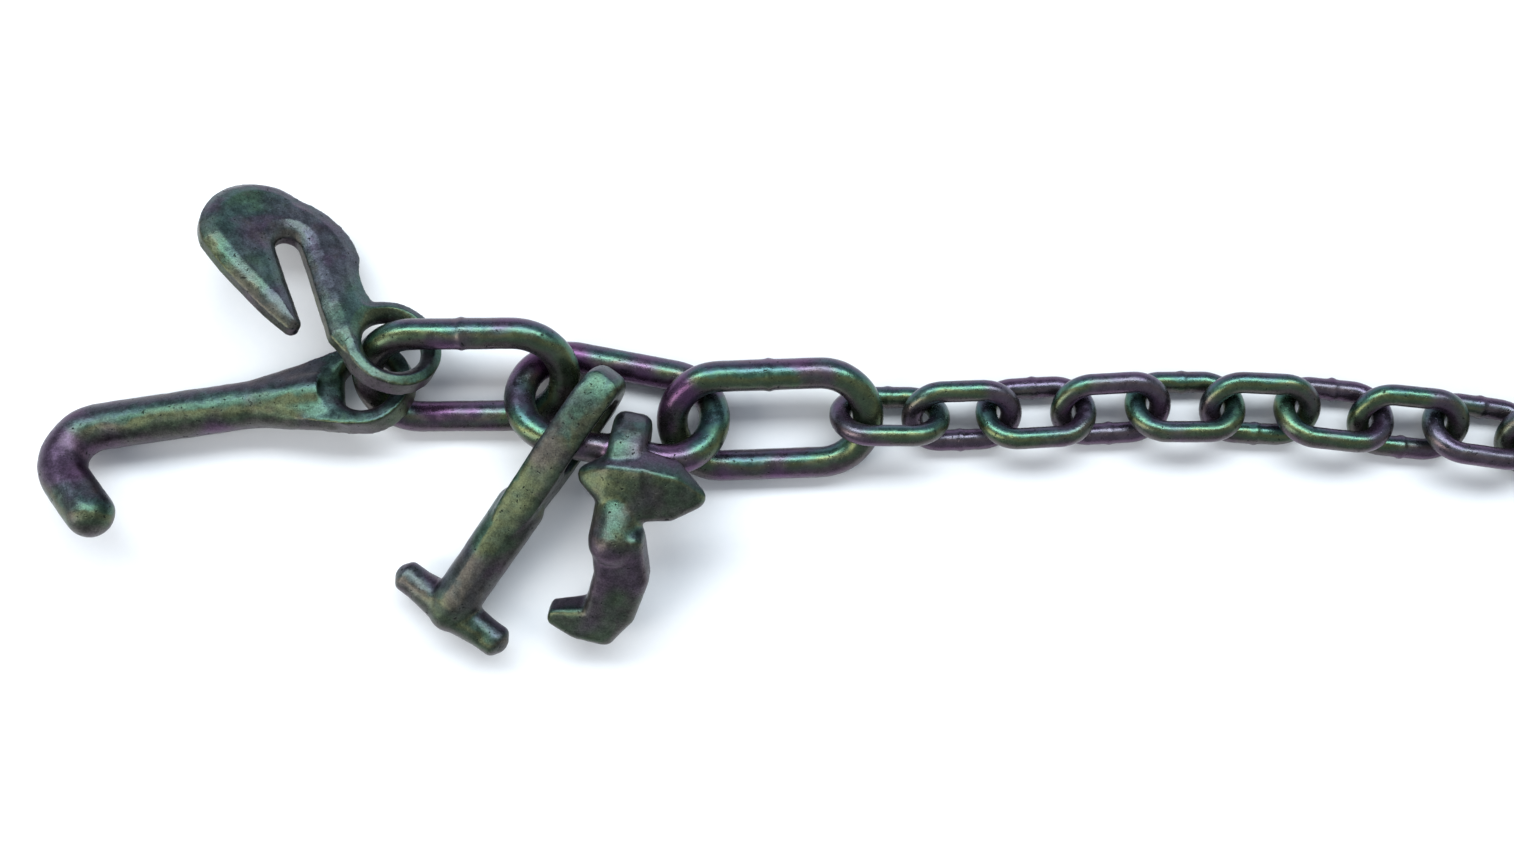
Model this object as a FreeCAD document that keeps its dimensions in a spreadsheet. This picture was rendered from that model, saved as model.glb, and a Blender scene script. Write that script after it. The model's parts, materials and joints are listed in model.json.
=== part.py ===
import FreeCAD, Part
import math
import os
import Sketcher

# Tie-down chain with a cluster of four forged hooks, laid out on the ground.
# Millimetres, +Z up, +X along the chain, the ground at Z = 0.
# Three oblong links carry the hooks; a run of short links follows.

V = FreeCAD.Vector

doc = FreeCAD.newDocument("hook_cluster_chain")
sheet = doc.addObject("Spreadsheet::Sheet", "Dimensions")

DRIVING = {
    # short chain links
    "link_wire": 8.4,
    "link_inside_length": 29.2,
    "link_inside_width": 14.2,
    # oblong links
    "oblong_wire": 12.0,
    "oblong_inside_length": 62.0,
    "oblong_inside_width": 25.0,
    # grab hook
    "grab_thickness": 12.4,
    "grab_bevel": 2.5,
    "grab_eye_radius": 18.8,
    "grab_eye_hole": 11.3,
    "grab_slot_width": 9.8,
    # shank and eye of the J hook
    "shank_radius": 9.3,
    "jay_eye_radius": 18.0,
    "jay_eye_hole": 10.3,
    "jay_eye_thickness": 10.0,
    "jay_reach": 103.0,
    "jay_bend_radius": 14.0,
    "jay_bend_angle": 123.0,
    "jay_leg": 17.6,
    # T hook
    "tee_eye_radius": 17.6,
    "tee_hole_radius": 8.6,
    "tee_hole_reach": 16.0,
    "tee_thickness": 14.8,
    "tee_reach": 77.0,
    "tee_bar_radius": 6.5,
    "tee_bar_length": 48.0,
    "tee_bar_drop": 3.0,
    # R hook
    "are_eye_radius": 17.6,
    "are_eye_hole": 8.6,
    "are_thickness": 15.0,
    "are_shoulder_width": 41.0,
    "are_shoulder_offset": 11.0,
    "are_shoulder_depth": 22.0,
    "are_toe_bend": 55.0,
}
for row, (alias, value) in enumerate(DRIVING.items(), start=1):
    sheet.set("A%d" % row, alias)
    sheet.set("B%d" % row, str(value))
    sheet.setAlias("B%d" % row, alias)
doc.recompute()


def size(alias):
    return float(sheet.get(alias))


def cell(alias):
    return "%s.%s" % (sheet.Name, alias)


# ------------------------------------------------------------ drawing aids

def new_body(name):
    body = doc.addObject("PartDesign::Body", name)
    body.Label = name
    return body


def new_sketch(body, name, role, offset=None):
    sketch = body.newObject("Sketcher::SketchObject", name)
    plane = [f for f in body.Origin.OriginFeatures if f.Role == role][0]
    sketch.AttachmentSupport = [(plane, "")]
    sketch.MapMode = "FlatFace"
    if offset is not None:
        sketch.AttachmentOffset = offset
    return sketch


def draw_outline(sketch, start, segments):
    """Lines ("to", end) and arcs ("arc", through, end) from start onwards."""
    here = V(start[0], start[1], 0)
    for segment in segments:
        end = V(segment[-1][0], segment[-1][1], 0)
        if segment[0] == "to":
            sketch.addGeometry(Part.LineSegment(here, end), False)
        else:
            through = V(segment[1][0], segment[1][1], 0)
            sketch.addGeometry(Part.Arc(here, through, end), False)
        here = end


def draw_circle(sketch, x, y, radius_cell):
    circle = Part.Circle(V(x, y, 0), V(0, 0, 1), size(radius_cell))
    index = sketch.addGeometry(circle, False)
    radius = sketch.addConstraint(Sketcher.Constraint("Radius", index, size(radius_cell)))
    sketch.setExpression("Constraints[%d]" % radius, cell(radius_cell))


def add_pad(body, sketch, name, length_cell):
    """Pad of both sides of the sketch plane, length_cell thick in all."""
    pad = body.newObject("PartDesign::Pad", name)
    pad.Profile = sketch
    pad.SideType = "Symmetric"
    pad.setExpression("Length", cell(length_cell))
    doc.recompute()
    return pad


def through_hole(body, name, role, x, y, radius_cell):
    sketch = new_sketch(body, name + "_outline", role)
    draw_circle(sketch, x, y, radius_cell)
    pocket = body.newObject("PartDesign::Pocket", name)
    pocket.Profile = sketch
    pocket.SideType = "Symmetric"
    pocket.Type = "ThroughAll"
    doc.recompute()
    return pocket


def rim_edges(shape, axis, level, keep=lambda edge: True):
    """Names of the edges that lie in the two planes axis = +level and -level."""
    names = []
    for number, edge in enumerate(shape.Edges, start=1):
        middle = edge.valueAt((edge.FirstParameter + edge.LastParameter) / 2)
        points = [vertex.Point for vertex in edge.Vertexes] + [middle]
        heights = [getattr(point, axis) for point in points]
        flat = all(abs(abs(height) - level) < 1e-4 for height in heights)
        if flat and keep(edge):
            names.append("Edge%d" % number)
    return names


def dress(body, kind, name, base, edges, amount):
    feature = body.newObject("PartDesign::" + kind, name)
    feature.Base = (base, edges)
    setattr(feature, "Radius" if kind == "Fillet" else "Size", amount)
    doc.recompute()
    return feature


def add_rod(body, name, radius_cell, length, position, rotation):
    rod = body.newObject("PartDesign::AdditiveCylinder", name)
    rod.setExpression("Radius", cell(radius_cell))
    rod.Height = length
    rod.Placement = FreeCAD.Placement(position, rotation)
    doc.recompute()
    return rod


def add_ball(body, name, radius_cell, position):
    ball = body.newObject("PartDesign::AdditiveSphere", name)
    ball.setExpression("Radius", cell(radius_cell))
    ball.Placement = FreeCAD.Placement(position, FreeCAD.Rotation())
    doc.recompute()
    return ball


ALONG_X = FreeCAD.Rotation(V(0, 1, 0), 90)
ALONG_Y = FreeCAD.Rotation(V(1, 0, 0), -90)


# ------------------------------------------------------------ the sub-parts

def make_link(name, wire, inside_length, inside_width):
    """Welded link of round wire: two straight sides and two half-circle ends.

    Its length runs along X and its width along Y, about its own middle.
    """
    centre_radius = (size(inside_width) + size(wire)) / 2
    straight = size(inside_length) + size(wire) - 2 * centre_radius
    straight_cell = "%s - %s" % (cell(inside_length), cell(inside_width))
    centre_cell = "(%s + %s) / 2" % (cell(inside_width), cell(wire))
    body = new_body(name)

    sides = new_sketch(body, name + "_side_sections", "YZ_Plane")
    for sign in (1, -1):
        add_section(sides, sign * centre_radius, centre_cell, wire)
    pad = body.newObject("PartDesign::Pad", name + "_sides")
    pad.Profile = sides
    pad.SideType = "Symmetric"
    pad.setExpression("Length", straight_cell)

    offset = FreeCAD.Placement(V(0, 0, straight / 2), FreeCAD.Rotation())
    end = new_sketch(body, name + "_end_section", "YZ_Plane", offset)
    end.setExpression("AttachmentOffset.Base.z", "(%s) / 2" % straight_cell)
    add_section(end, -centre_radius, centre_cell, wire)
    bend = body.newObject("PartDesign::Revolution", name + "_end")
    bend.Profile = end
    bend.ReferenceAxis = (end, ["V_Axis"])
    bend.Angle = 180

    mirror = body.newObject("PartDesign::Mirrored", name + "_other_end")
    mirror.Originals = [bend]
    plane = [f for f in body.Origin.OriginFeatures if f.Role == "YZ_Plane"][0]
    mirror.MirrorPlane = (plane, [""])
    body.Tip = mirror
    doc.recompute()
    return body


def add_section(sketch, y, centre_cell, wire):
    """Round wire section on the sketch's horizontal axis, y from the middle."""
    circle = Part.Circle(V(y, 0, 0), V(0, 0, 1), size(wire) / 2)
    index = sketch.addGeometry(circle, False)
    radius = sketch.addConstraint(Sketcher.Constraint("Radius", index, size(wire) / 2))
    sketch.setExpression("Constraints[%d]" % radius, cell(wire) + " / 2")
    sketch.addConstraint(Sketcher.Constraint("PointOnObject", index, 3, -1))
    reach = Sketcher.Constraint("DistanceX", -1, 1, index, 3, y)
    if y < 0:
        reach = Sketcher.Constraint("DistanceX", index, 3, -1, 1, -y)
    place = sketch.addConstraint(reach)
    sketch.setExpression("Constraints[%d]" % place, centre_cell)


def make_grab_hook(name):
    """Flat forged hook whose narrow slot grips one link edgewise.

    The eye is at the origin, its hole along Z. The slot opens towards -Y.
    """
    slot_radius = size("grab_slot_width") / 2
    slot_middle = -27.6
    slot_top = 45.2
    shank_side = slot_middle + slot_radius
    tip_side = slot_middle - slot_radius
    body = new_body(name)
    outline = new_sketch(body, name + "_outline", "XY_Plane")
    eye = size("grab_eye_radius")
    draw_outline(outline, (-2.7, math.sqrt(eye ** 2 - 2.7 ** 2)), [
        ("arc", (eye * math.sqrt(0.5), -eye * math.sqrt(0.5)), (-math.sqrt(eye ** 2 - 2.6 ** 2), -2.6)),
        ("to", (shank_side, 6.0)),
        ("to", (shank_side, slot_top)),
        ("arc", (slot_middle, slot_top + slot_radius), (tip_side, slot_top)),
        ("to", (-31.6, 14.0)),
        ("arc", (-33.6, 9.6), (-37.9, 11.0)),
        ("arc", (-50.0, 30.5), (-59.0, 51.0)),
        ("arc", (-37.3, 75.9), (-15.5, 64.8)),
        ("arc", (-5.0, 52.5), (-1.8, 38.0)),
        ("arc", (-4.2, 28.0), (-2.7, math.sqrt(eye ** 2 - 2.7 ** 2))),
    ])
    blank = add_pad(body, outline, name + "_blank", "grab_thickness")
    half = size("grab_thickness") / 2
    edges = rim_edges(blank.Shape, "z", half, lambda edge: edge.CenterOfMass.x < -7)
    dress(body, "Chamfer", name + "_bevels", blank, edges, size("grab_bevel"))
    hole = through_hole(body, name + "_eye", "XY_Plane", 0, 0, "grab_eye_hole")
    edges = rim_edges(hole.Shape, "z", half, lambda edge: is_circle(edge, "grab_eye_hole"))
    dress(body, "Fillet", name + "_eye_rounding", hole, edges, 4.5)
    return body


def is_circle(edge, radius_cell):
    return isinstance(edge.Curve, Part.Circle) and abs(edge.Curve.Radius - size(radius_cell)) < 1e-4


def make_j_hook(name):
    """Round bar with a flat eye at one end and a short returned leg at the other.

    The eye is at the origin, its hole along Z; the shank runs along +X.
    """
    reach = size("jay_reach")
    bend_radius = size("jay_bend_radius")
    turn = math.radians(size("jay_bend_angle"))
    start = size("jay_eye_hole") + 6
    body = new_body(name)

    def on_bend(angle):
        return (reach + bend_radius * math.sin(angle), bend_radius * (1 - math.cos(angle)))

    bend_end = on_bend(turn)
    leg_end = (bend_end[0] + size("jay_leg") * math.cos(turn),
               bend_end[1] + size("jay_leg") * math.sin(turn))
    spine = new_sketch(body, name + "_spine", "XY_Plane")
    draw_outline(spine, (start, 0), [
        ("to", (reach, 0)),
        ("arc", on_bend(turn / 2), bend_end),
        ("to", leg_end),
    ])
    for first in (0, 1):
        spine.addConstraint(Sketcher.Constraint("Coincident", first, 2, first + 1, 1))
    offset = FreeCAD.Placement(V(0, 0, start), FreeCAD.Rotation())
    section = new_sketch(body, name + "_section", "YZ_Plane", offset)
    draw_circle(section, 0, 0, "shank_radius")
    bar = body.newObject("PartDesign::AdditivePipe", name + "_bar")
    bar.Profile = section
    bar.Spine = (spine, [])
    doc.recompute()
    add_ball(body, name + "_tip", "shank_radius", V(leg_end[0], leg_end[1], 0))

    flare = new_sketch(body, name + "_flare_outline", "XY_Plane")
    draw_outline(flare, (6, -17.5), [
        ("to", (36, -9)), ("to", (36, 9)), ("to", (6, 17.5)), ("to", (6, -17.5))])
    add_pad(body, flare, name + "_flare", "jay_eye_thickness")
    eye = new_sketch(body, name + "_eye_outline", "XY_Plane")
    draw_circle(eye, 0, 0, "jay_eye_radius")
    add_pad(body, eye, name + "_eye_disc", "jay_eye_thickness")
    hole = through_hole(body, name + "_eye", "XY_Plane", 0, 0, "jay_eye_hole")
    half = size("jay_eye_thickness") / 2
    edges = rim_edges(hole.Shape, "z", half, lambda edge: is_circle(edge, "jay_eye_hole"))
    dress(body, "Fillet", name + "_eye_rounding", hole, edges, 4.0)
    return body


def make_t_hook(name):
    """Long-eyed hook that ends in a cross bar.

    The link's bar passes through the origin along Y; the shank runs along +X.
    """
    eye_radius = size("tee_eye_radius")
    far = -size("tee_hole_reach")
    body = new_body(name)
    eye = new_sketch(body, name + "_eye_outline", "XZ_Plane")
    draw_outline(eye, (far, eye_radius), [
        ("arc", (far - eye_radius, 0), (far, -eye_radius)),
        ("to", (6, -eye_radius)), ("to", (38, -9)), ("to", (38, 9)),
        ("to", (6, eye_radius)), ("to", (far, eye_radius))])
    blank = add_pad(body, eye, name + "_eye_blank", "tee_thickness")
    half = size("tee_thickness") / 2
    edges = rim_edges(blank.Shape, "y", half, lambda edge: edge.CenterOfMass.x < 37)
    rounded = dress(body, "Fillet", name + "_eye_rounding", blank, edges, 5.0)
    hole_radius = size("tee_hole_radius")
    slot = new_sketch(body, name + "_hole_outline", "XZ_Plane")
    draw_outline(slot, (far, hole_radius), [
        ("arc", (far - hole_radius, 0), (far, -hole_radius)), ("to", (0, -hole_radius)),
        ("arc", (hole_radius, 0), (0, hole_radius)), ("to", (far, hole_radius))])
    pocket = body.newObject("PartDesign::Pocket", name + "_hole")
    pocket.Profile = slot
    pocket.SideType = "Symmetric"
    pocket.Type = "ThroughAll"
    doc.recompute()
    reach = size("tee_reach")
    add_rod(body, name + "_shank", "shank_radius", reach - 5 - 28, V(28, 0, 0), ALONG_X)
    add_ball(body, name + "_shank_end", "shank_radius", V(reach - 5, 0, 0))
    length = size("tee_bar_length")
    bar = add_rod(body, name + "_cross_bar", "tee_bar_radius", length,
                  V(reach, -length / 2, -size("tee_bar_drop")), ALONG_Y)
    edges = rim_edges(bar.Shape, "y", length / 2)
    dress(body, "Fillet", name + "_bar_rounding", bar, edges, 3.0)
    return body


def make_r_hook(name):
    """Hook with a wide shoulder behind a short neck and a sideways toe.

    The link's bar passes through the origin along Y; the neck runs along +X.
    """
    body = new_body(name)
    middle = size("are_shoulder_offset")
    wing = size("are_shoulder_width") / 2
    shoulder = new_sketch(body, name + "_shoulder_outline", "XY_Plane")
    draw_outline(shoulder, (9.5, middle - 14), [
        ("to", (9.5, middle + 14)),
        ("to", (15, middle + wing)),
        ("arc", (23, middle), (15, middle - wing)),
        ("to", (9.5, middle - 14)),
    ])
    block = add_pad(body, shoulder, name + "_shoulder", "are_shoulder_depth")
    edges = rim_edges(block.Shape, "z", size("are_shoulder_depth") / 2)
    dress(body, "Chamfer", name + "_shoulder_bevel", block, edges, 4.0)

    eye = new_sketch(body, name + "_eye_outline", "XZ_Plane")
    draw_circle(eye, 0, 0, "are_eye_radius")
    add_pad(body, eye, name + "_eye_disc", "are_thickness")
    add_rod(body, name + "_neck", "shank_radius", 18, V(14, 0, 0), ALONG_X)
    add_ball(body, name + "_knuckle", "shank_radius", V(32, 0, 0))

    tilt = FreeCAD.Rotation(V(0, 1, 0), size("are_toe_bend"))
    toe = new_sketch(body, name + "_toe_outline", "XY_Plane", FreeCAD.Placement(V(32, 0, 0), tilt))
    draw_outline(toe, (-3, 12), [
        ("arc", (2, 16.2), (16, 17)), ("arc", (33, 14.5), (47, 7)),
        ("arc", (49.5, 0), (46.5, -9)), ("to", (39, -20)),
        ("arc", (36.2, -21.6), (33.5, -18.5)), ("to", (29.5, -7)),
        ("arc", (14, -4.5), (-3, -7)), ("to", (-3, 12))])
    add_pad(body, toe, name + "_toe", "are_thickness")
    through_hole(body, name + "_eye", "XZ_Plane", 0, 0, "are_eye_hole")
    return body


# ------------------------------------------------------- lay of the pieces

OBLONG = ("oblong_wire", "oblong_inside_length", "oblong_inside_width")
SHORT = ("link_wire", "link_inside_length", "link_inside_width")

pieces = {}


def place(body, x, y, z, yaw, pitch, roll):
    rotation = FreeCAD.Rotation(yaw, pitch, roll)
    body.Placement = FreeCAD.Placement(V(x, y, z), rotation)
    pieces[body.Label] = body


def place_link(name, kind, x, y, yaw, roll, lift=0.0, pitch=0.0):
    """Link that leans on its lower side by roll, raised off the ground by lift."""
    wire, inside_length, inside_width = kind
    half_width = (size(inside_width) + size(wire)) / 2
    height = size(wire) / 2 + half_width * math.sin(math.radians(abs(roll)))
    place(make_link(name, *kind), x, y, height + lift, yaw, pitch, roll)


# The cluster: three oblong links, and the four hooks threaded on two of them.
RIGHT_X = 2.9
place_link("oblong_link_left", OBLONG, -111.3, 20.0, 0.6, 35)
place_link("oblong_link_middle", OBLONG, -54.7, 7.9, -10.5, -30)
place_link("oblong_link_right", OBLONG, RIGHT_X, 3.4, 2, 25)
place(make_grab_hook("grab_hook"), -138.1, 30.1, 23.9, 7.0, 33.3, -27.0)
place(make_j_hook("j_hook"), -149.0, 15.5, 13.9, 188.2, 2.1, 28.0)
place(make_t_hook("t_hook"), -73.9, -5.7, 23.5, -125.1, 6.4, 4.2)
place(make_r_hook("r_hook"), -50.2, -10.9, 25.7, -100.1, -20.9, -0.6)

# Heading and lean of each further short link, in degrees, from the oblong links outwards.
SHORT_LAY = [
    (2, 36), (3, -33), (3, 34), (0, -33),
    (-3, 34), (-6, -32), (-6, 33), (-8, -33), (-8, 32),
    (-7, -34), (-5, 33), (-2, -33), (0, 34), (3, -33),
    (4, 33), (4, -34), (2, 33), (0, -33), (-2, 34),
]
PLAY = 0.9

place_link("chain_link_01", SHORT, 48.0, 4.7, -0.4, -50.1, 0.72, 0.5)
step = size("link_inside_length") - PLAY
x = 61.3
y = 4.4
for number, (heading, lean) in enumerate(SHORT_LAY, start=2):
    along = math.radians(heading)
    middle_x = x + step / 2 * math.cos(along)
    middle_y = y + step / 2 * math.sin(along)
    place_link("chain_link_%02d" % number, SHORT, middle_x, middle_y, heading, lean)
    x += step * math.cos(along)
    y += step * math.sin(along)
doc.recompute()

# The origin is the middle of the ground under the whole chain.
whole = Part.makeCompound([body.Shape for body in pieces.values()]).optimalBoundingBox()
to_origin = V(-whole.Center.x, -whole.Center.y, -whole.ZMin)
for body in pieces.values():
    body.Placement = FreeCAD.Placement(body.Placement.Base + to_origin, body.Placement.Rotation)
doc.recompute()

# ---------------------------------------------------------- checks, output

for item in doc.Objects:
    if "Invalid" in item.State or "Error" in item.State:
        raise RuntimeError("%s failed: %s" % (item.Name, item.State))
for label, body in pieces.items():
    if body.Shape.isNull() or not body.Shape.isValid() or len(body.Shape.Solids) != 1:
        raise RuntimeError(label + " is not one valid solid")

os.makedirs("parts", exist_ok=True)
for label, body in pieces.items():
    body.Shape.exportStep("parts/%s.step" % label)
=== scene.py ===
import json
import math

import bmesh
import bpy
import numpy as np
from mathutils import Matrix, Vector, noise
from mathutils.kdtree import KDTree


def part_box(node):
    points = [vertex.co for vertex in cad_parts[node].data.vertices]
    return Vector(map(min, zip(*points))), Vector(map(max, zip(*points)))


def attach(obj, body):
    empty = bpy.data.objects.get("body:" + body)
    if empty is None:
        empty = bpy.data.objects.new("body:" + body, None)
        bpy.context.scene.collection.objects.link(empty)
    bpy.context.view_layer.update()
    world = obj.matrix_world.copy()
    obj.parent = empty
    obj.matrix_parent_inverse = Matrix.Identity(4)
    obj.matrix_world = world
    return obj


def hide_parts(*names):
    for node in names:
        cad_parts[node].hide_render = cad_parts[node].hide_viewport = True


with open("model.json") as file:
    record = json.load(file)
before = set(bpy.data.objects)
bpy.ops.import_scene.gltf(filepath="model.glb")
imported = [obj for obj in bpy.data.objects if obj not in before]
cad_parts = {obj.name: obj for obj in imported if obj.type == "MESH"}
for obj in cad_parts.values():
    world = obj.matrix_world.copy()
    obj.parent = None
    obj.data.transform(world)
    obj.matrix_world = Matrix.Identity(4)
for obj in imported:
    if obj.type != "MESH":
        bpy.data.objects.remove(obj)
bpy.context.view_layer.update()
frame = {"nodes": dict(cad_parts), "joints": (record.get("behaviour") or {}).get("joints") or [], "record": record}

MM = 0.001
NODES = frame["nodes"]
SHORT_LINKS = sorted(name for name in NODES if name.startswith("chain_link_"))
OBLONG_LINKS = sorted(name for name in NODES if name.startswith("oblong_link_"))
HOOKS = ("grab_hook", "j_hook", "t_hook", "r_hook")
HINGES = {joint["child"]: joint for joint in frame["joints"]}
MOUNTS = {mount["name"]: mount for mount in frame["record"]["mounts"]}


# ------------------------------------------------- materials

class Shader:
    """A node tree with short calls for the nodes the materials use."""

    def __init__(self, name):
        self.material = bpy.data.materials.new(name)
        self.material.use_nodes = True
        self.nodes = self.material.node_tree.nodes
        self.links = self.material.node_tree.links
        self.bsdf = self.nodes["Principled BSDF"]

    def put(self, socket, value):
        if isinstance(value, bpy.types.NodeSocket):
            self.links.new(value, socket)
        else:
            socket.default_value = value

    def new(self, kind, **settings):
        node = self.nodes.new(kind)
        for key, value in settings.items():
            setattr(node, key, value)
        return node

    def noise(self, vector, scale, detail=3.0, rough=0.55, distortion=0.0):
        node = self.new("ShaderNodeTexNoise")
        self.put(node.inputs["Vector"], vector)
        self.put(node.inputs["Scale"], scale)
        self.put(node.inputs["Detail"], detail)
        self.put(node.inputs["Roughness"], rough)
        self.put(node.inputs["Distortion"], distortion)
        return node.outputs["Fac"]

    def math(self, operation, a, b=0.0, c=0.0, clamp=False):
        node = self.new("ShaderNodeMath", operation=operation, use_clamp=clamp)
        for socket, value in zip(node.inputs, (a, b, c)):
            self.put(socket, value)
        return node.outputs[0]

    def span(self, value, low, high, to_low=0.0, to_high=1.0):
        node = self.new("ShaderNodeMapRange", interpolation_type="SMOOTHSTEP")
        for key, item in (("Value", value), ("From Min", low), ("From Max", high),
                          ("To Min", to_low), ("To Max", to_high)):
            self.put(node.inputs[key], item)
        return node.outputs["Result"]

    def mix(self, factor, a, b, blend="MIX"):
        node = self.new("ShaderNodeMix", data_type="RGBA", blend_type=blend)
        self.put(node.inputs["Factor"], factor)
        self.put(node.inputs["A"], a)
        self.put(node.inputs["B"], b)
        return node.outputs["Result"]

    def ramp(self, factor, stops):
        node = self.new("ShaderNodeValToRGB")
        ramp = node.color_ramp
        ramp.interpolation = "EASE"
        while len(ramp.elements) < len(stops):
            ramp.elements.new(0.5)
        for element, (position, colour) in zip(ramp.elements, stops):
            element.position = position
            element.color = (*colour, 1.0)
        self.put(node.inputs["Fac"], factor)
        return node.outputs["Color"]


# Film colours of the chromate plating, from one edge of a bar to the other. They are set by which way the surface
# faces, so the bright olive and mint-green middle stops are a painted highlight along each bar.
FILM_WITH_PAINTED_HIGHLIGHT = [
    (0.00, (0.086, 0.054, 0.076)),
    (0.16, (0.096, 0.080, 0.076)),
    (0.32, (0.072, 0.108, 0.062)),
    (0.47, (0.118, 0.140, 0.060)),
    (0.60, (0.062, 0.152, 0.100)),
    (0.74, (0.044, 0.104, 0.112)),
    (0.86, (0.062, 0.058, 0.102)),
    (1.00, (0.094, 0.058, 0.088)),
]
PURPLE = (0.112, 0.054, 0.116, 1.0)
BROWN = (0.074, 0.062, 0.060, 1.0)
GREY = (0.080, 0.094, 0.074, 1.0)
# Near-black for pits and dark blots, and for the painted shade in hollows.
PIT_AND_SHADE_BLACK = (0.007, 0.009, 0.008, 1.0)
WORN = (0.260, 0.300, 0.290, 1.0)
# How fine each layer of noise in the plating is; larger is finer.
PURPLE_SCALE = 27.0
DRIFT_SCALE = 38.0
BROWN_SCALE = 61.0
PATCH_SCALE = 85.0
BLOT_SCALE = 150.0
CLOUD_SCALE = 210.0
PIT_SCALE = 620.0
GRAIN_SCALE = 1500.0
BUMP_DEPTH = 0.35 * MM


def plated_steel(name, offset, purple, brown, rough, level, grit, vivid):
    """Steel under a thin iridescent chromate film, with grain, pits and worn edges, a painted highlight in the
    film colours laid out by surface facing, and painted shade in hollows.

    purple and brown are the strengths of those patches, level the brightness, grit the
    strength of the grain, and vivid how much of the film's colour, with its painted highlight, shows over plain
    grey.
    """
    s = Shader(name)
    coords = s.new("ShaderNodeTexCoord")
    shift = s.new("ShaderNodeVectorMath", operation="ADD")
    s.put(shift.inputs[0], coords.outputs["Object"])
    s.put(shift.inputs[1], offset)
    place = shift.outputs[0]
    normal = s.new("ShaderNodeSeparateXYZ")
    s.put(normal.inputs[0], coords.outputs["Normal"])

    drift = s.noise(place, DRIFT_SCALE, 3.0, 0.6, 0.6)
    patch = s.noise(place, PATCH_SCALE, 4.0, 0.6, 0.3)
    # Painted highlight: the film colour follows the object-space normal's Y, so each bar gets a bright mint-green
    # band where the highlight falls and darker mauve towards its edges.
    across = s.math("MULTIPLY_ADD", normal.outputs["Y"], 0.46, 0.5)
    turn = s.math("MULTIPLY_ADD", s.math("SUBTRACT", drift, 0.5), 0.60, across)
    turn = s.math("MULTIPLY_ADD", s.math("SUBTRACT", patch, 0.5), 0.30, turn, clamp=True)
    colour = s.ramp(turn, FILM_WITH_PAINTED_HIGHLIGHT)
    colour = s.mix(vivid, GREY, colour)
    purple_patch = s.span(s.noise(place, PURPLE_SCALE, 2.0), 0.44, 0.60, 0.0, purple)
    colour = s.mix(purple_patch, colour, PURPLE)
    brown_patch = s.span(s.noise(place, BROWN_SCALE, 4.0, 0.65), 0.50, 0.75, 0.0, brown)
    colour = s.mix(brown_patch, colour, BROWN)

    grain = s.noise(place, GRAIN_SCALE, 5.0, 0.7)
    cloud = s.noise(place, CLOUD_SCALE, 5.0, 0.7)
    fine_shade = s.span(grain, 0.25, 0.75, 1.0 - 0.45 * grit, 1.0 + 0.35 * grit)
    broad_shade = s.span(cloud, 0.25, 0.75, 1.0 - 0.42 * grit, 1.0 + 0.38 * grit)
    shade = s.math("MULTIPLY", s.math("MULTIPLY", fine_shade, broad_shade), level)
    tone = s.new("ShaderNodeCombineColor")
    for channel in tone.inputs:
        s.put(channel, shade)
    colour = s.mix(1.0, colour, tone.outputs[0], "MULTIPLY")

    pits = s.span(s.noise(place, PIT_SCALE, 2.0, 0.5), 0.66, 0.73)
    blots = s.span(s.noise(place, BLOT_SCALE, 5.0, 0.75), 0.63, 0.76, 0.0, 0.75)
    dark = s.math("MAXIMUM", pits, blots)
    colour = s.mix(s.math("MULTIPLY", dark, 0.8), colour, PIT_AND_SHADE_BLACK)

    edge = s.new("ShaderNodeNewGeometry").outputs["Pointiness"]
    wear = s.math("MULTIPLY", s.span(edge, 0.53, 0.62), s.span(cloud, 0.42, 0.60))
    colour = s.mix(s.math("MULTIPLY", wear, 0.6), colour, WORN)
    # Painted shade: hollows, where the surface curves inward, darkened towards near-black.
    hollow_shade = s.span(edge, 0.38, 0.48, 0.7, 0.0)
    colour = s.mix(hollow_shade, colour, PIT_AND_SHADE_BLACK)

    base_rough = s.span(cloud, 0.3, 0.7, rough - 0.07, rough + 0.10)
    roughness = s.math("ADD", base_rough, s.math("MULTIPLY", dark, 0.25))
    height = s.math("MULTIPLY_ADD", grain, 0.35, s.math("MULTIPLY", cloud, 0.9))
    height = s.math("SUBTRACT", height, s.math("MULTIPLY", dark, 0.9))
    bump = s.new("ShaderNodeBump")
    s.put(bump.inputs["Strength"], 0.25 + 0.22 * grit)
    s.put(bump.inputs["Distance"], BUMP_DEPTH)
    s.put(bump.inputs["Height"], height)

    s.put(s.bsdf.inputs["Base Color"], colour)
    s.put(s.bsdf.inputs["Metallic"], 0.92)
    s.put(s.bsdf.inputs["Roughness"], roughness)
    s.put(s.bsdf.inputs["Normal"], bump.outputs["Normal"])
    return s.material


# ---------------------------------------------- mesh helpers

def even_piece(node, blank, voxel, passes):
    """The blank as one closed, even mesh, with its sharp joins eased."""
    piece = bpy.data.objects.new(node + "_forging", blank)
    bpy.context.scene.collection.objects.link(piece)
    remesh = piece.modifiers.new("even", "REMESH")
    remesh.mode = "VOXEL"
    remesh.voxel_size = voxel
    ease = piece.modifiers.new("ease", "SMOOTH")
    ease.factor = 0.5
    ease.iterations = passes
    graph = bpy.context.evaluated_depsgraph_get()
    mesh = bpy.data.meshes.new_from_object(piece.evaluated_get(graph))
    piece.modifiers.clear()
    piece.data = mesh
    mesh.name = piece.name
    mesh.shade_smooth()
    return piece


def read_points(mesh):
    """A mesh's points and their normals, one row each."""
    points = np.zeros(len(mesh.vertices) * 3)
    mesh.vertices.foreach_get("co", points)
    normals = np.zeros(len(mesh.vertices) * 3)
    mesh.vertex_normals.foreach_get("vector", normals)
    return points.reshape(-1, 3), normals.reshape(-1, 3)


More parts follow.
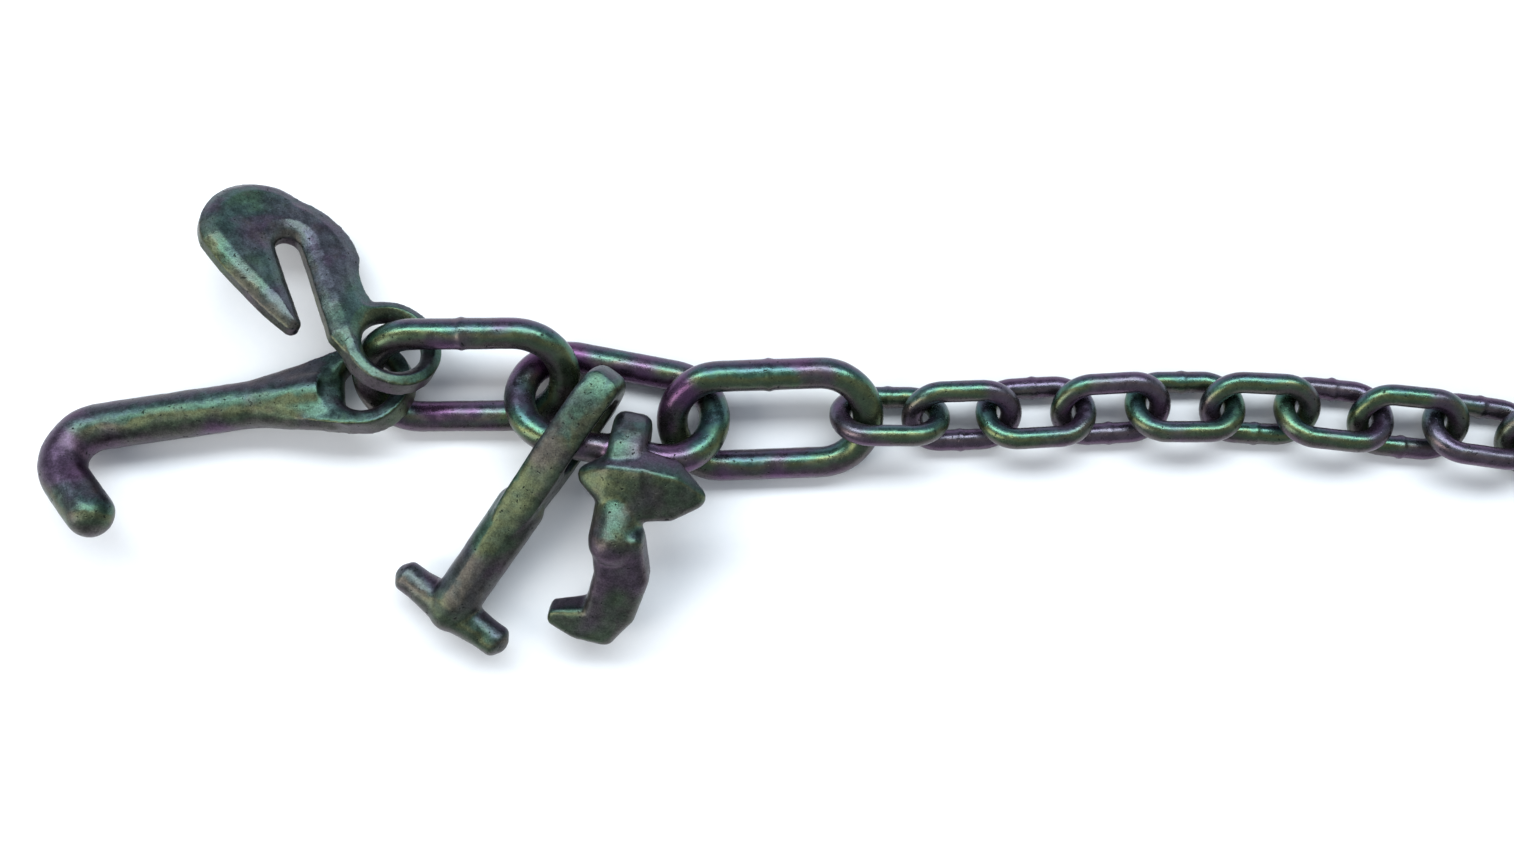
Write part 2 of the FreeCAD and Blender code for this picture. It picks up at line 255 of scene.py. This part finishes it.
def write_points(mesh, points):
    mesh.vertices.foreach_set("co", points.ravel())
    mesh.update()


def hammer(points, seed, pitch):
    """Uneven depth of a forged skin, 0 to 1, at a given spacing of its dents."""
    shift = Vector((seed * 0.37, seed * 0.91, seed * 0.53))
    depth = [noise.noise(Vector(p) / pitch + shift) for p in points]
    return 0.5 + 0.5 * np.array(depth)


def own_axes(points):
    """Middle and the length, width and thickness directions of a link."""
    low, high = points.min(0), points.max(0)
    middle = (low + high) / 2
    _, vectors = np.linalg.eigh(np.cov((points - middle).T))
    return middle, vectors[:, ::-1].T


def finish_piece(piece, node, material):
    """Puts the piece in its CAD node's place, on that node's body."""
    piece.data.materials.clear()
    piece.data.materials.append(material)
    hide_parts(node)
    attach(piece, node)


# --------------------------------------------- welded links

LINK_VOXEL = 0.62 * MM
LINK_EASE = 3
BURR_HALF_WIDTH = 1.3 * MM


def make_link(node, number, material):
    """A welded link: a rough weld ridge across one side and shallow dents elsewhere."""
    piece = even_piece(node, NODES[node].data.copy(), LINK_VOXEL, LINK_EASE)
    points, normals = read_points(piece.data)
    middle, axes = own_axes(points)
    local = (points - middle) @ axes.T
    if axes[1][1] < 0:
        local[:, 1] *= -1
    side = 1.0 if number % 2 else -1.0
    ridge = np.exp(-((local[:, 0] / BURR_HALF_WIDTH) ** 2)) * (local[:, 1] * side > 0)
    burr = ridge * (0.05 + 0.60 * hammer(points, number + 40, 4.0 * MM))
    dents = hammer(points, number, 9.0 * MM) * 0.20 + hammer(points, number + 9, 2.2 * MM) * 0.05
    write_points(piece.data, points + normals * ((burr - dents * (1 - ridge)) * MM)[:, None])
    finish_piece(piece, node, material)


# --------------------------------------------- forged hooks

# Angle between the J hook's shank and its returned leg.
LEG_TURN = math.radians(123.0)


def hook_axes(node):
    """A hook's eye and its own X, Y and Z, from its hinge and its working end."""
    eye = Vector(HINGES[node]["pos_m"])
    hinge = Vector(HINGES[node]["axis"]).normalized()
    if node == "grab_hook":
        y = -Vector(MOUNTS["grab_slot"]["axis"])
        return eye, y.cross(hinge), y, hinge
    if node == "j_hook":
        leg = Vector(MOUNTS["j_hook_leg"]["axis"])
        x = leg * math.cos(LEG_TURN) - hinge.cross(leg) * math.sin(LEG_TURN)
        return eye, x, hinge.cross(x), hinge
    if node == "t_hook":
        x = Vector(MOUNTS["t_bar"]["axis"])
        return eye, x, hinge, x.cross(hinge)
    toe = Vector(MOUNTS["r_hook_toe"]["axis"])
    x = (toe - hinge * toe.dot(hinge)).normalized()
    return eye, x, hinge, x.cross(hinge)


# Rounded lumps of each forging: hulls of balls (x, y, z, radius), in mm from the eye.
LUMPS = {
    "j_hook": [
        [(22, 0, 0, 8.6), (13, 12, 0, 4.6), (13, -12, 0, 4.6), (44, 0, 0, 9.3)],
    ],
    "t_hook": [
        [(70, 0, 0, 9.6), (77, 0, -2, 9.0)],
        [(77, 0, -2.5, 8.4), (77, 20, -3, 5.9)],
        [(77, 0, -2.5, 8.4), (77, -20, -3, 5.9)],
        [(30, 0, 0, 9.8), (68, 0, 0, 9.4)],
    ],
    "r_hook": [
        [(11, -12, 6, 4.6), (12, 27, 5, 4.8), (4, -3, 11, 3.2), (3, 7, 12, 3.2), (4, 18, 11, 3.2),
         (19, -4, 6, 4.2), (21, 7, 5, 4.6), (19, 19, 5, 4.2), (10, -5, 14, 3.0), (10, 7, 16, 3.0),
         (10, 19, 14, 3.0), (14, -5, -2, 5.0), (14, 16, -2, 5.0)],
        [(15, 1, 2, 9.8), (33, 1, 0, 9.4)],
    ],
}
# Eye of the R hook: middle of the ring, its tube and half its flat width, in mm.
RING_STEPS = 20
RING_RADIUS = 13.1
RING_TUBE = 4.6
RING_HALF = 2.9
# Toe of the R hook: where it leaves the neck, how far it bends down, half its thickness.
TOE_ROOT = 32.0
TOE_TILT = math.radians(55.0)
TOE_HALF = 2.8
# Slices of the R hook's toe: corners (along, across, radius) in the plane of its plate.
TOE_SLICES = [
    [(-2, 8, 4.6), (-2, -3, 4.6), (14, 12, 4.6), (14, 0, 4.6)],
    [(14, 12, 4.6), (14, 0, 4.6), (32, 9, 4.6), (32, -2, 4.6)],
    [(32, 9, 4.6), (32, -2, 4.6), (43, 3, 4.4), (43, -3, 4.4)],
    [(34, -2, 4.4), (43, 2, 4.4), (43, -7, 4.2), (40, -17, 2.8), (37, -17, 2.4)],
]


def ring_lumps():
    """The eye of the R hook as a closed run of short hulls."""
    runs = []
    for step in range(RING_STEPS):
        balls = []
        for turn in (step, step + 1):
            angle = 2 * math.pi * turn / RING_STEPS
            x = RING_RADIUS * math.cos(angle)
            z = RING_RADIUS * math.sin(angle)
            balls += [(x, -RING_HALF, z, RING_TUBE), (x, RING_HALF, z, RING_TUBE)]
        runs.append(balls)
    return runs


def toe_lumps():
    """The flat toe of the R hook, slice by slice."""
    runs = []
    for corners in TOE_SLICES:
        balls = []
        for along, across, radius in corners:
            for rise in (-TOE_HALF, TOE_HALF):
                x = TOE_ROOT + along * math.cos(TOE_TILT) + rise * math.sin(TOE_TILT)
                z = rise * math.cos(TOE_TILT) - along * math.sin(TOE_TILT)
                balls.append((x, across, z, radius))
        runs.append(balls)
    return runs


def ball_hull(balls):
    """The convex hull of a set of balls, as an open bmesh in mm."""
    shape = bmesh.new()
    for x, y, z, radius in balls:
        place = Matrix.Translation((x, y, z))
        bmesh.ops.create_icosphere(shape, subdivisions=3, radius=radius, matrix=place)
    bmesh.ops.delete(shape, geom=shape.faces[:] + shape.edges[:], context="EDGES_FACES")
    result = bmesh.ops.convex_hull(shape, input=shape.verts[:])
    loose = {item for key in ("geom_interior", "geom_unused") for item in result[key]}
    loose_points = [item for item in loose if isinstance(item, bmesh.types.BMVert)]
    bmesh.ops.delete(shape, geom=loose_points, context="VERTS")
    return shape


def forging_blank(node):
    """A hook's rough shape, ready to be made even.

    The R hook is built from its lumps alone. The others are their CAD solid with lumps added.
    """
    eye, x, y, z = hook_axes(node)
    turn = Matrix((x, y, z)).transposed().to_4x4()
    place = Matrix.Translation(eye) @ turn @ Matrix.Scale(MM, 4)
    blank = bmesh.new()
    lumps = LUMPS.get(node, [])
    if node == "r_hook":
        lumps = lumps + ring_lumps() + toe_lumps()
    else:
        blank.from_mesh(NODES[node].data)
    for balls in lumps:
        lump = ball_hull(balls)
        lump.transform(place)
        part = bpy.data.meshes.new("lump")
        lump.to_mesh(part)
        blank.from_mesh(part)
        bpy.data.meshes.remove(part)
        lump.free()
    mesh = bpy.data.meshes.new(node + "_blank")
    blank.to_mesh(mesh)
    blank.free()
    return mesh


HOOK_VOXEL = 0.75 * MM
EASE_PASSES = {"grab_hook": 7, "j_hook": 12, "t_hook": 12, "r_hook": 10}
# The grab hook thins over this width next to its walls; a wall faces this little upward.
WALL_FACING = 0.35
CROWN_HALF = 6.2 * MM
CROWN_WIDTH = 6.0 * MM
CROWN_SLOPE = 0.40
# The T hook's shank is pressed down to this share of its height above the facet.
FACET_HEIGHT = 8.7 * MM
FACET_SHARE = 0.4


def crown_faces(local, facing):
    """Thins a flat hook towards its walls, like a forging die leaves it."""
    wall = np.abs(facing) < WALL_FACING
    tree = KDTree(int(wall.sum()))
    for index, point in enumerate(local[wall]):
        tree.insert((point[0], point[1], 0.0), index)
    tree.balance()
    gap = np.array([tree.find((point[0], point[1], 0.0))[2] for point in local])
    gap[wall] = 0.0
    local[:, 2] *= 1.0 - np.maximum(0.0, CROWN_WIDTH - gap) * CROWN_SLOPE / CROWN_HALF


def flatten_top(local):
    """Eases the upper side of the T hook's shank into a low facet."""
    high = local[:, 2] > FACET_HEIGHT
    local[high, 2] = FACET_HEIGHT + (local[high, 2] - FACET_HEIGHT) * FACET_SHARE


def make_hook(node, number, material):
    """A forged hook: its blank made even, shaped where it is flat, then dented."""
    piece = even_piece(node, forging_blank(node), HOOK_VOXEL, EASE_PASSES[node])
    points, normals = read_points(piece.data)
    eye, x, y, z = hook_axes(node)
    turn = np.array([x, y, z])
    local = (points - np.array(eye)) @ turn.T
    if node == "grab_hook":
        crown_faces(local, normals @ np.array(z))
    if node == "t_hook":
        flatten_top(local)
    write_points(piece.data, local @ turn + np.array(eye))
    points, normals = read_points(piece.data)
    broad = hammer(points, number, 9.0 * MM) * 0.45
    fine = hammer(points, number + 5, 2.8 * MM) * 0.16
    dents = broad + fine
    write_points(piece.data, points - normals * (dents * MM)[:, None])
    finish_piece(piece, node, material)


# --------------------------------------------- every piece

for number, node in enumerate(SHORT_LINKS + OBLONG_LINKS, start=1):
    offset = (0.31 * number, 0.17 * number, 0.23 * number)
    material = plated_steel(node + "_plating", offset, purple=1.0 if node in OBLONG_LINKS else 0.6,
                            brown=0.15, rough=0.27, level=0.93, grit=0.45, vivid=0.85)
    make_link(node, number, material)

# Strength of the purple and the brown patches on each hook.
HOOK_LOOKS = {
    "grab_hook": (0.35, 0.85),
    "j_hook": (0.75, 0.45),
    "t_hook": (0.35, 0.75),
    "r_hook": (0.60, 0.90),
}
FIRST_HOOK_NUMBER = 50
for number, node in enumerate(HOOKS, start=FIRST_HOOK_NUMBER):
    purple, brown = HOOK_LOOKS[node]
    offset = (0.13 * number, 0.29 * number, 0.07 * number)
    material = plated_steel(node + "_plating", offset, purple=purple, brown=brown,
                            rough=0.36, level=0.80, grit=0.9, vivid=0.62)
    make_hook(node, number, material)


# --------------------------------------------------- floor, light and camera

FLOOR_REACH = 6.0
FLOOR_SCALE = 300.0


def make_floor():
    """A wide pale ground under the chain."""
    reach = FLOOR_REACH
    mesh = bpy.data.meshes.new("floor")
    corners = [(-reach, -reach, 0), (reach, -reach, 0), (reach, reach, 0), (-reach, reach, 0)]
    mesh.from_pydata(corners, [], [(0, 1, 2, 3)])
    floor = bpy.data.objects.new("floor", mesh)
    bpy.context.scene.collection.objects.link(floor)
    s = Shader("floor")
    coords = s.new("ShaderNodeTexCoord")
    speckle = s.noise(coords.outputs["Object"], FLOOR_SCALE, 3.0)
    tint = s.mix(speckle, (0.83, 0.84, 0.85, 1), (0.87, 0.87, 0.87, 1))
    s.put(s.bsdf.inputs["Base Color"], tint)
    s.put(s.bsdf.inputs["Roughness"], 0.85)
    mesh.materials.append(s.material)


def add_area(name, location, target, size, power, colour):
    """A flat lamp at a place, turned towards a target."""
    data = bpy.data.lights.new(name, "AREA")
    data.shape = "RECTANGLE"
    data.size, data.size_y = size
    data.energy = power
    data.color = colour
    light = bpy.data.objects.new(name, data)
    light.location = location
    towards = Vector(target) - Vector(location)
    light.rotation_euler = towards.to_track_quat("-Z", "Y").to_euler()
    bpy.context.scene.collection.objects.link(light)


make_floor()
world = bpy.data.worlds.new("studio")
world.use_nodes = True
world.node_tree.nodes["Background"].inputs["Color"].default_value = (0.80, 0.88, 1.0, 1)
world.node_tree.nodes["Background"].inputs["Strength"].default_value = 0.52
bpy.context.scene.world = world

cluster_low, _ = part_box("j_hook")
SENSOR_WIDTH = 36.0
VIEW_WIDTH = 0.583
CAMERA_HEIGHT = 0.70
LEFT_MARGIN = 0.021
CAMERA_DROP = 0.0026
aim = Vector((cluster_low.x - LEFT_MARGIN + VIEW_WIDTH / 2, -CAMERA_DROP, 0.0))
add_area("sky_panel", (aim.x, 0.75, 1.15), aim, (2.2, 0.45), 30, (0.88, 0.95, 1.0))
add_area("side_panel", (aim.x - 1.1, -0.35, 0.8), aim, (0.5, 1.2), 9, (1.0, 0.97, 0.92))

camera_data = bpy.data.cameras.new("camera")
camera_data.sensor_width = SENSOR_WIDTH
camera_data.lens = SENSOR_WIDTH * CAMERA_HEIGHT / VIEW_WIDTH
camera_data.clip_start = 0.01
camera_data.clip_end = 20
camera = bpy.data.objects.new("camera", camera_data)
camera.location = aim + Vector((0, 0, CAMERA_HEIGHT))
bpy.context.scene.collection.objects.link(camera)
bpy.context.scene.camera = camera
bpy.context.scene.view_settings.view_transform = "Standard"
